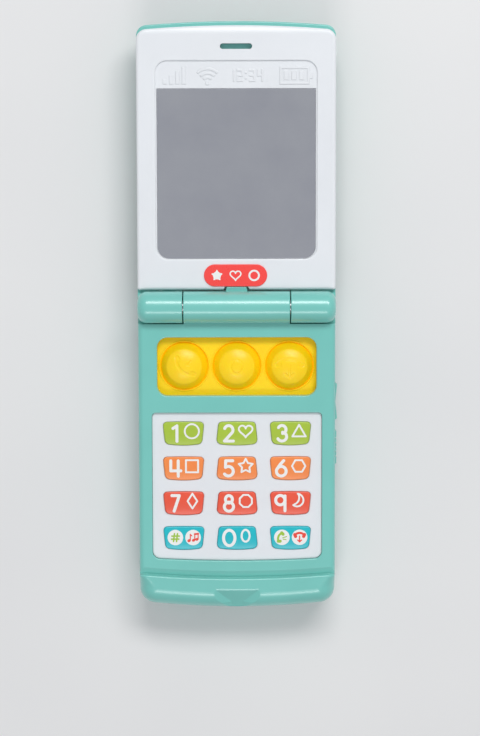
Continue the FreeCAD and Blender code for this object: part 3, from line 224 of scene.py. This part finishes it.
def circuit_board():
    """Green solder mask, paler where tracks run under it."""
    mat, tree_nodes, links, shader = new_material("board_green")
    coords = tree_nodes.new("ShaderNodeTexCoord").outputs["Object"]
    tracks = tree_nodes.new("ShaderNodeTexBrick")
    tracks.inputs["Scale"].default_value = 260
    tracks.inputs["Mortar Size"].default_value = 0.03
    links.new(coords, tracks.inputs["Vector"])
    shade = mixed(tree_nodes, links, tracks.outputs["Fac"], linear((22, 84, 50)), linear((58, 128, 74)))
    links.new(shade, shader.inputs["Base Color"])
    shader.inputs["Roughness"].default_value = 0.35
    return mat


def cell_sleeve():
    """A plain printed sleeve: a dark body with a pale band at one end."""
    mat, tree_nodes, links, shader = new_material("cell_jacket")
    coords = tree_nodes.new("ShaderNodeTexCoord").outputs["Object"]
    parts = tree_nodes.new("ShaderNodeSeparateXYZ")
    links.new(coords, parts.inputs[0])
    band = ranged(tree_nodes, links, parts.outputs["X"], 0, 1, 9.9 * MM, 10.1 * MM)
    tone = mixed(tree_nodes, links, band, linear((48, 92, 60)), linear((214, 216, 210)))
    links.new(tone, shader.inputs["Base Color"])
    shader.inputs["Roughness"].default_value = 0.3
    shader.inputs["Metallic"].default_value = 0.4
    return mat


MINT = (119, 200, 190)
PANEL = (231, 234, 237)
KEY_COLOURS = {
    "key_green": (174, 201, 62),
    "key_orange": (250, 144, 74),
    "key_red": (239, 91, 64),
    "key_blue": (24, 190, 202),
}
YELLOW = (255, 213, 32)
# The colour of painted shade on the silicone's steep flanks and in its hollows.
SHADE_AMBER = (255, 206, 0)
SOFT = {"Subsurface_Weight": 0.3, "Subsurface_Radius": (1.0, 0.55, 0.12), "Subsurface_Scale": 1.2 * MM}
# Painted light: a faint amber glow in the silicone, standing for light scattered through it.
PAINTED_GLOW = {"Emission_Color": (1.0, 0.5, 0.0, 1.0), "Emission_Strength": 0.085}
SATIN = {"Specular_IOR_Level": 0.35}
MILKY = {"Subsurface_Weight": 0.3, "Subsurface_Radius": (1.0, 1.0, 1.0), "Subsurface_Scale": 0.7 * MM}
GLOSS = {"Coat_Weight": 0.7, "Coat_Roughness": 0.19}
SHEEN = {"Coat_Weight": 0.18, "Coat_Roughness": 0.2}
# Where a bevel is given, edges are painted paler as a painted highlight; the keys get the most.
looks = {
    "mint_shell": moulded("mint_shell", MINT, 0.33, bevel=0.18, **GLOSS),
    "white_panel": moulded("white_panel", PANEL, 0.36, 0.015, bevel=0.3, **MILKY, **SHEEN),
    "mirror": mirror_film(),
    "foam_tape": moulded("foam_tape", (232, 232, 228), 0.9, grain=0.5),
    "badge_red": moulded("badge_red", (253, 74, 69), 0.3, Coat_Weight=0.3, Coat_Roughness=0.12),
    # The yellow silicone gets painted shade on its steep flanks and in hollows, and a painted amber glow.
    "yellow_silicone": moulded(
        "yellow_silicone", YELLOW, 0.34, 0.04, grain=0.1, shade_tone=SHADE_AMBER, **SOFT, **PAINTED_GLOW, **SATIN
    ),
    **{
        slot: moulded(slot, colour, 0.34, 0.03, bevel=0.3, edge_highlight=0.3, **MILKY, **SHEEN)
        for slot, colour in KEY_COLOURS.items()
    },
    "contact_rubber": moulded("contact_rubber", (190, 190, 188), 0.7, grain=0.2),
    "board_green": circuit_board(),
    "black_plastic": moulded("black_plastic", (30, 30, 32), 0.5, grain=0.2),
    "lamp_lens": moulded("lamp_lens", (236, 240, 236), 0.15, Transmission_Weight=0.7),
    "steel": metal("steel", (196, 197, 200), 0.32),
    "spring_steel": metal("spring_steel", (214, 214, 216), 0.2),
    "acetal": moulded("acetal", (238, 238, 232), 0.4),
    "cone_paper": moulded("cone_paper", (58, 56, 54), 0.85, 0.15, grain=0.6),
    "cell_jacket": cell_sleeve(),
    "lead_red": moulded("lead_red", (190, 40, 36), 0.5),
    "lead_black": moulded("lead_black", (28, 28, 30), 0.5),
    "lead_white": moulded("lead_white", (226, 226, 222), 0.5),
}
inks = {
    "white": moulded("white_ink", (240, 240, 237), 0.42, 0.01, grain=0.12, ripple=0.0),
    "green": moulded("green_ink", (158, 196, 60), 0.42, 0.02, grain=0.12, ripple=0.0),
    "red": moulded("red_ink", (236, 72, 56), 0.42, 0.02, grain=0.12, ripple=0.0),
}
for part in frame["record"]["subparts"]:
    data = nodes[part["node"]].data
    data.materials.clear()
    data.materials.append(looks[part["material_slot"]])


# ---- flat prints, drawn as the outline of strokes ----
def arc(cx, cy, rx, ry, first, last, steps=24):
    """Points along part of an ellipse, angles in degrees."""
    angles = np.radians(np.linspace(first, last, steps))
    return [(cx + rx * math.cos(a), cy + ry * math.sin(a)) for a in angles]


def regular(radius, sides, turn=0.0, inner=None):
    """A closed regular polygon, or a star where inner is its inner radius."""
    count = sides * 2 if inner else sides
    points = []
    for i in range(count + 1):
        r = inner if inner and i % 2 else radius
        angle = math.radians(turn + 360 * i / count)
        points.append((r * math.cos(angle), r * math.sin(angle)))
    return points


def moved(strokes, dx, dy, scale=1.0, turn=0.0):
    """The same strokes scaled, turned by degrees and shifted."""
    c, s = scale * math.cos(math.radians(turn)), scale * math.sin(math.radians(turn))
    out = []
    for points, width in strokes:
        out.append(([(dx + c * x - s * y, dy + s * x + c * y) for x, y in points], width * scale))
    return out


def heart_outline():
    """A closed heart about 5.5 wide."""
    points = []
    for i in range(49):
        t = 2 * math.pi * i / 48
        x = 16 * math.sin(t) ** 3
        y = 13 * math.cos(t) - 5 * math.cos(2 * t) - 2 * math.cos(3 * t) - math.cos(4 * t)
        points.append((x * 0.172, y * 0.165 + 0.25))
    return points


def crescent_outline():
    """A closed crescent moon that opens to the upper left."""
    outer = arc(-0.7, 0.35, 2.9, 2.9, 84, -128, 30)
    inner = arc(-3.1, 1.55, 3.35, 3.35, -66, 30, 20)
    return outer + inner + outer[:1]


# Each drawing is a list of strokes, and each stroke is its points and its width, in millimetres.
# D is the width of a digit's stroke, S of a symbol's.
D = 1.2
DIGITS = {
    "1": [([(-1.0, 2.05), (0.6, 3.1), (0.6, -3.15)], D)],
    "2": [(arc(0, 1.4, 1.7, 1.75, 160, -38) + [(-1.75, -3.1), (1.85, -3.1)], D)],
    "3": [(arc(-0.1, 1.55, 1.6, 1.6, 152, -82), D), (arc(-0.1, -1.35, 1.85, 1.8, 82, -152), D)],
    "4": [([(-1.95, 3.1), (-1.95, -0.95), (2.1, -0.95)], D), ([(1.05, 3.1), (1.05, -3.15)], D)],
    "5": [([(1.6, 3.1), (-1.25, 3.1), (-1.35, 0.45)] + arc(-0.15, -1.15, 1.95, 1.95, 118, -145), D)],
    "6": [([(1.0, 3.1), (-0.5, 1.5)] + arc(0, -1.2, 1.95, 1.95, 160, 520, 40), D)],
    "7": [([(-1.45, 3.15), (1.5, 3.15), (-0.6, -3.2)], D)],
    "8": [(arc(0, 1.6, 1.4, 1.5, 0, 360, 36), D), (arc(0, -1.4, 1.85, 1.85, 0, 360, 36), D)],
    "9": [(arc(-0.3, 1.2, 1.85, 1.9, 0, 360, 40), D), ([(1.6, 2.9), (1.6, -3.15)], D)],
    "0": [(arc(0, 0, 2.3, 3.15, 0, 360, 48), D)],
}
S = 0.72
SYMBOLS = {
    "circle": [(arc(0, 0, 2.85, 2.85, 0, 360, 48), S)],
    "heart": [(heart_outline(), S)],
    "triangle": [([(0, 2.55), (-2.7, -2.15), (2.7, -2.15), (0, 2.55)], S)],
    "square": [([(-2.45, -2.45), (2.45, -2.45), (2.45, 2.45), (-2.45, 2.45), (-2.45, -2.45)], S)],
    "star": [(regular(2.95, 5, 90, 1.55), S)],
    "hexagon": [(regular(2.7, 6), S)],
    "diamond": [([(0, 3.0), (1.95, 0), (0, -3.0), (-1.95, 0), (0, 3.0)], S)],
    "octagon": [(regular(2.65, 8, 22.5), S)],
    "moon": moved([(crescent_outline(), S / 0.88)], 0, 0, 0.88),
    "oval": [(arc(0, 0, 1.6, 2.4, 0, 360, 40), S + 0.1)],
}
HASH = [
    ([(-0.75, -1.6), (-0.35, 1.6)], 0.62),
    ([(0.45, -1.6), (0.85, 1.6)], 0.62),
    ([(-1.6, -0.62), (1.4, -0.62)], 0.62),
    ([(-1.4, 0.62), (1.6, 0.62)], 0.62),
]
NOTES = [
    ([(-1.75, -1.3), (-1.5, -1.2)], 1.15),
    ([(-1.12, -1.1), (-1.12, 1.35), (-0.5, 0.7)], 0.42),
    ([(0.05, -1.15), (0.3, -1.05)], 1.1),
    ([(0.68, -1.0), (0.68, 1.5)], 0.42),
    ([(0.68, 1.4), (2.05, 1.55)], 0.75),
    ([(1.42, -0.75), (1.67, -0.65)], 1.1),
    ([(2.05, -0.6), (2.05, 1.55)], 0.42),
]
HANDSET = [
    (arc(1.5, 0, 2.5, 2.5, 133, 227, 16), 0.85),
    ([(-0.35, 1.85), (0.35, 1.55)], 1.25),
    ([(-0.35, -1.85), (0.35, -1.55)], 1.25),
]
ANSWER = moved(HANDSET, -0.45, 0.0, 1.0, -22) + [
    ([(0.3, -0.2), (1.9, 0.35)], 0.36),
    ([(0.5, -0.75), (1.7, -0.9)], 0.36),
]
HANG_UP = moved(HANDSET, 0, 0.75, 1.05, -90) + [
    ([(0, 0.5), (0, -1.75)], 0.5),
    ([(-0.75, -1.1), (0, -1.85), (0.75, -1.1)], 0.5),
]


def distance(strokes, px, py):
    """How far each point lies outside the strokes; negative inside."""
    field = np.full(px.shape, 1e9)
    for points, width in strokes:
        spans = list(zip(points, points[1:])) or [(points[0], points[0])]
        for (ax, ay), (bx, by) in spans:
            dx, dy = bx - ax, by - ay
            length = dx * dx + dy * dy
            t = np.clip(((px - ax) * dx + (py - ay) * dy) / length, 0, 1) if length else 0
            field = np.minimum(field, np.hypot(px - ax - t * dx, py - ay - t * dy) - width / 2)
    return field


LIFT = 0.01
INK_THICKNESS = 0.03
STRIP = 0.5
GRID = 0.09
TINY = 1e-4


def laid_on(bm, node, lift):
    """Drops a flat mesh to lift above a node's top, cut into strips so that it follows the crown."""
    mesh = nodes[node].data
    surface = BVHTree.FromPolygons([v.co for v in mesh.vertices], [p.vertices for p in mesh.polygons])
    low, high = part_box(node)
    for line in np.arange(low.y, high.y, STRIP * MM):
        whole = bm.verts[:] + bm.edges[:] + bm.faces[:]
        bmesh.ops.bisect_plane(bm, geom=whole, plane_co=(0, line, 0), plane_no=(0, 1, 0))
    for vert in bm.verts:
        hit = surface.ray_cast(Vector((vert.co.x, vert.co.y, high.z + MM)), Vector((0, 0, -1)))[0]
        vert.co.z = hit.z + lift * MM


def printed(name, strokes, x, y, lift, node, body, mat):
    """A thin print of the strokes, in millimetres about x, y, on a node's top, riding on a body."""
    reach = max(max(abs(a), abs(b)) + w for points, w in strokes for a, b in points) + GRID
    ticks = np.arange(-reach, reach + GRID, GRID)
    px, py = np.meshgrid(ticks, ticks, indexing="ij")
    field = distance(strokes, px, py)
    field[np.abs(field) < TINY] = TINY
    bm = bmesh.new()
    corners, crossings = {}, {}

    def corner(i, j):
        if (i, j) not in corners:
            corners[i, j] = bm.verts.new(((x + px[i, j]) * MM, (y + py[i, j]) * MM, 0))
        return corners[i, j]

    def crossing(a, b):
        key = (min(a, b), max(a, b))
        if key not in crossings:
            t = field[a] / (field[a] - field[b])
            cx, cy = px[a] + t * (px[b] - px[a]), py[a] + t * (py[b] - py[a])
            crossings[key] = bm.verts.new(((x + cx) * MM, (y + cy) * MM, 0))
        return crossings[key]

    inside = field < 0
    some = inside[:-1, :-1] | inside[1:, :-1] | inside[1:, 1:] | inside[:-1, 1:]
    for i, j in zip(*np.nonzero(some)):
        ring = ((i, j), (i + 1, j), (i + 1, j + 1), (i, j + 1))
        face = []
        for a, b in zip(ring, ring[1:] + ring[:1]):
            if inside[a]:
                face.append(corner(*a))
            if inside[a] != inside[b]:
                face.append(crossing(a, b))
        if len(face) > 2:
            bm.faces.new(face)
    bmesh.ops.dissolve_limit(bm, angle_limit=0.02, verts=bm.verts[:], edges=bm.edges[:])
    laid_on(bm, node, lift)
    mesh = bpy.data.meshes.new(name)
    bm.to_mesh(mesh)
    bm.free()
    obj = bpy.data.objects.new(name, mesh)
    bpy.context.scene.collection.objects.link(obj)
    solid = obj.modifiers.new("thickness", "SOLIDIFY")
    solid.thickness = INK_THICKNESS * MM
    solid.offset = 1.0
    mesh.materials.append(mat)
    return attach(obj, body)


def middle(node):
    """The middle of a node in plan, in millimetres."""
    low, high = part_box(node)
    return (low.x + high.x) / 2 / MM, (low.y + high.y) / 2 / MM


# Digit, symbol, and how far each one's middle is to the right of the key's.
PRINTS = {
    "key_1": ("1", "circle", -3.2, 3.4),
    "key_2": ("2", "heart", -3.3, 3.5),
    "key_3": ("3", "triangle", -3.3, 3.45),
    "key_4": ("4", "square", -3.2, 3.4),
    "key_5": ("5", "star", -3.3, 3.5),
    "key_6": ("6", "hexagon", -3.7, 3.3),
    "key_7": ("7", "diamond", -3.3, 3.5),
    "key_8": ("8", "octagon", -3.3, 3.5),
    "key_9": ("9", "moon", -3.8, 3.3),
    "key_0": ("0", "oval", -3.2, 3.4),
}
DIGIT_Y = 0.1
SYMBOL_Y = 1.0
for key, (digit, symbol, digit_x, symbol_x) in PRINTS.items():
    x, y = middle(key)
    printed(key + "_digit", DIGITS[digit], x + digit_x, y + DIGIT_Y, LIFT, key, key, inks["white"])
    printed(key + "_symbol", SYMBOLS[symbol], x + symbol_x, y + SYMBOL_Y, LIFT, key, key, inks["white"])
DISC = [([(0, 0)], 6.3)]
DISC_Y = 0.3
LEFT_X = -3.45
RIGHT_X = 3.7
ON_DISC = LIFT + INK_THICKNESS
for key, left, right in (("key_music", HASH, NOTES), ("key_call", ANSWER, HANG_UP)):
    x, y = middle(key)
    for side, offset, marks, colour in (("left", LEFT_X, left, "green"), ("right", RIGHT_X, right, "red")):
        at = (x + offset, y + DISC_Y)
        printed(key + "_disc_" + side, DISC, *at, LIFT, key, key, inks["white"])
        printed(key + "_mark_" + side, marks, *at, ON_DISC, key, key, inks[colour])
BADGE_PITCH = 7.4
FILLED_STAR = [(regular(2.0, 5, 90, 0.95), 0.5), (regular(1.0, 5, 90), 1.5), ([(0, 0)], 1.8)]
SMALL_HEART = moved([(heart_outline(), 0.7)], 0, 0, 0.78)
SMALL_RING = [(arc(0, 0, 1.9, 1.9, 0, 360, 40), 0.75)]
badge_x, badge_y = middle("lid_badge")
for name, marks, place in (
    ("badge_star", FILLED_STAR, -1),
    ("badge_heart", SMALL_HEART, 0),
    ("badge_ring", SMALL_RING, 1),
):
    x = badge_x + place * BADGE_PITCH
    printed(name, marks, x, badge_y, LIFT, "lid_badge", "lid", inks["white"])


# ---- popping bubbles ----
# Radii from the dome's axis and heights above the tray floor, in millimetres.
APEX = 4.9
CAP_R = 14.0
SHOULDER_R = 2.0
FOOT_R = 9.4
FOOT_Z = -0.2
FLANK = math.radians(54)
GROOVE = [
    (9.4, -0.25),
    (9.43, -0.4),
    (9.49, -0.53),
    (9.58, -0.6),
    (9.68, -0.6),
    (9.77, -0.55),
    (9.84, -0.45),
]
SIGN_DEPTH = 0.2
SIGN_EASE = 0.35
SIGN_REACH = 8.0
SIGN_LEAN = 13.0
TURNS = 220


def bubble_profile():
    """(radius, height above the tray floor) from the middle of the dome out to the groove at its foot."""
    centre_z = APEX - CAP_R
    reach = FOOT_R * math.sin(FLANK) + FOOT_Z * math.cos(FLANK) - SHOULDER_R - centre_z * math.cos(FLANK)
    tilt = FLANK - math.acos(reach / (CAP_R - SHOULDER_R))
    turn_r = (CAP_R - SHOULDER_R) * math.sin(tilt)
    turn_z = centre_z + (CAP_R - SHOULDER_R) * math.cos(tilt)
    points = [(CAP_R * math.sin(a), centre_z + CAP_R * math.cos(a)) for a in np.linspace(0, tilt, 44)]
    for a in np.linspace(tilt, FLANK, 14)[1:]:
        points.append((turn_r + SHOULDER_R * math.sin(a), turn_z + SHOULDER_R * math.cos(a)))
    last_r, last_z = points[-1]
    for share in (0.2, 0.4, 0.6, 0.8, 0.93):
        points.append((last_r + (FOOT_R - last_r) * share, last_z + (FOOT_Z - last_z) * share))
    return points + GROOVE


def sunk(marks, xs, ys):
    """How far each point is sunk by the sign, from 0 to 1."""
    return np.clip(0.5 - distance(marks, xs, ys) / SIGN_EASE, 0, 1)


def popping_bubble(name, node, marks):
    """A smooth silicone dome with a sign sunk in its top."""
    low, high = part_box(node)
    cx, cy = (low.x + high.x) / 2, (low.y + high.y) / 2
    floor_z = high.z - APEX * MM
    profile = bubble_profile()
    bm = bmesh.new()
    rings = []
    for r, h in profile[1:]:
        angles = np.linspace(0, 2 * math.pi, TURNS, endpoint=False)
        xs, ys = r * np.cos(angles), r * np.sin(angles)
        sign = sunk(marks, xs, ys)
        sign = SIGN_DEPTH * sign * sign * (3 - 2 * sign) if r < SIGN_REACH else xs * 0
        ring = []
        for a, b, depth in zip(xs, ys, sign):
            pull = 1 - depth / SIGN_LEAN
            ring.append(bm.verts.new((cx + a * MM * pull, cy + b * MM * pull, floor_z + (h - depth) * MM)))
        rings.append(ring)
    depth = float(sunk(marks, np.array([0.0]), np.array([0.0]))[0])
    top = bm.verts.new((cx, cy, floor_z + (profile[0][1] - SIGN_DEPTH * depth) * MM))
    for i in range(TURNS):
        bm.faces.new((top, rings[0][i], rings[0][(i + 1) % TURNS]))
    for inner, outer in zip(rings, rings[1:]):
        for i in range(TURNS):
            j = (i + 1) % TURNS
            bm.faces.new((inner[i], outer[i], outer[j], inner[j]))
    mesh = bpy.data.meshes.new(name)
    bm.to_mesh(mesh)
    bm.free()
    mesh.shade_smooth()
    mesh.materials.append(looks["yellow_silicone"])
    obj = bpy.data.objects.new(name, mesh)
    bpy.context.scene.collection.objects.link(obj)
    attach(obj, "base")
    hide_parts(node)
    # Pressed fully, 1.5 of the 5.5 mm from web to apex are left.
    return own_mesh(obj)


HOOD = [
    (arc(0, -1.2, 5.1, 3.4, 18, 162, 24), 1.2),
    ([(-5.0, -0.3), (-4.2, -0.1)], 1.9),
    ([(4.2, -0.1), (5.0, -0.3)], 1.9),
]
POINTER = [([(0, 0.6), (0, -4.2)], 0.8), ([(-1.6, -2.9), (0, -4.5), (1.6, -2.9)], 0.7)]
BIG_HANDSET = moved(HOOD, 0.3, 0.1, 0.95, 135) + moved(POINTER, 2.6, 2.2, 0.5, -45)
RING = [(arc(0, 0, 2.4, 2.75, 0, 360, 40), 0.75)]
BIG_HANG_UP = moved(HOOD, 0, 0.9) + POINTER
for side, marks in (("left", BIG_HANDSET), ("middle", RING), ("right", BIG_HANG_UP)):
    popping_bubble("dome_" + side, "bubble_" + side, marks)


# ---- floor, light and camera ----
FLOOR_GAP = 0.1


def studio_floor():
    """A plain pale table top under the phone."""
    mat, tree_nodes, links, shader = new_material("floor")
    coords = tree_nodes.new("ShaderNodeTexCoord").outputs["Object"]
    cloud = ranged(tree_nodes, links, noise(tree_nodes, links, coords, 6, 2), 0, 1)
    tone = mixed(tree_nodes, links, cloud, linear((226, 226, 226)), linear((232, 232, 231)))
    links.new(tone, shader.inputs["Base Color"])
    shader.inputs["Roughness"].default_value = 0.8
    bm = bmesh.new()
    bmesh.ops.create_grid(bm, x_segments=1, y_segments=1, size=3.0)
    mesh = bpy.data.meshes.new("floor")
    bm.to_mesh(mesh)
    bm.free()
    mesh.materials.append(mat)
    floor = bpy.data.objects.new("floor", mesh)
    floor.location.z = -FLOOR_GAP * MM
    bpy.context.scene.collection.objects.link(floor)


def soft_light(name, direction, distance_m, width, depth, watts):
    """A soft box, wide across the phone, that faces its middle."""
    target = Vector((0, 0.055, 0.024))
    data = bpy.data.lights.new(name, "AREA")
    data.shape = "RECTANGLE"
    data.size, data.size_y, data.energy = width, depth, watts
    lamp = bpy.data.objects.new(name, data)
    way = Vector(direction).normalized()
    lamp.location = target + way * distance_m
    lamp.rotation_mode = "QUATERNION"
    lamp.rotation_quaternion = way.to_track_quat("Z", "Y")
    bpy.context.scene.collection.objects.link(lamp)


def sky():
    """An even grey room, a little brighter low down and a little bluer overhead."""
    world = bpy.data.worlds.new("room")
    world.use_nodes = True
    bpy.context.scene.world = world
    tree_nodes, links = world.node_tree.nodes, world.node_tree.links
    back = tree_nodes["Background"]
    parts = tree_nodes.new("ShaderNodeSeparateXYZ")
    links.new(tree_nodes.new("ShaderNodeTexCoord").outputs["Generated"], parts.inputs[0])
    rise = ranged(tree_nodes, links, parts.outputs["Z"], 0, 1, 0.2, 0.95)
    tone = mixed(tree_nodes, links, rise, (0.46, 0.465, 0.475, 1), (0.382, 0.39, 0.418, 1))
    links.new(tone, back.inputs["Color"])
    back.inputs["Strength"].default_value = 1.0


def camera():
    """A long lens above the keypad, tipped a little so that it looks down from the lid's side."""
    away, tip, lean = 0.883, math.radians(6.3), math.radians(0.13)
    span = 0.2944
    aim = Vector((0.00151, 0.0355, 0.024))
    data = bpy.data.cameras.new("camera")
    data.sensor_width = 36.0
    data.lens = data.sensor_width * away / span
    data.clip_start, data.clip_end = 0.01, 10
    eye = bpy.data.objects.new("camera", data)
    eye.location = aim + away * Vector((0, math.sin(tip), math.cos(tip)))
    eye.rotation_euler = (-tip, 0, -lean)
    bpy.context.scene.collection.objects.link(eye)
    bpy.context.scene.camera = eye


studio_floor()
sky()
soft_light("key_light", (0.2, 0.773, 1.0), 1.3, 0.84, 0.34, 9.6)
soft_light("front_light", (-0.04, -0.687, 1.0), 1.4, 0.72, 0.24, 3.7)
camera()
bpy.context.scene.view_settings.view_transform = "Standard"
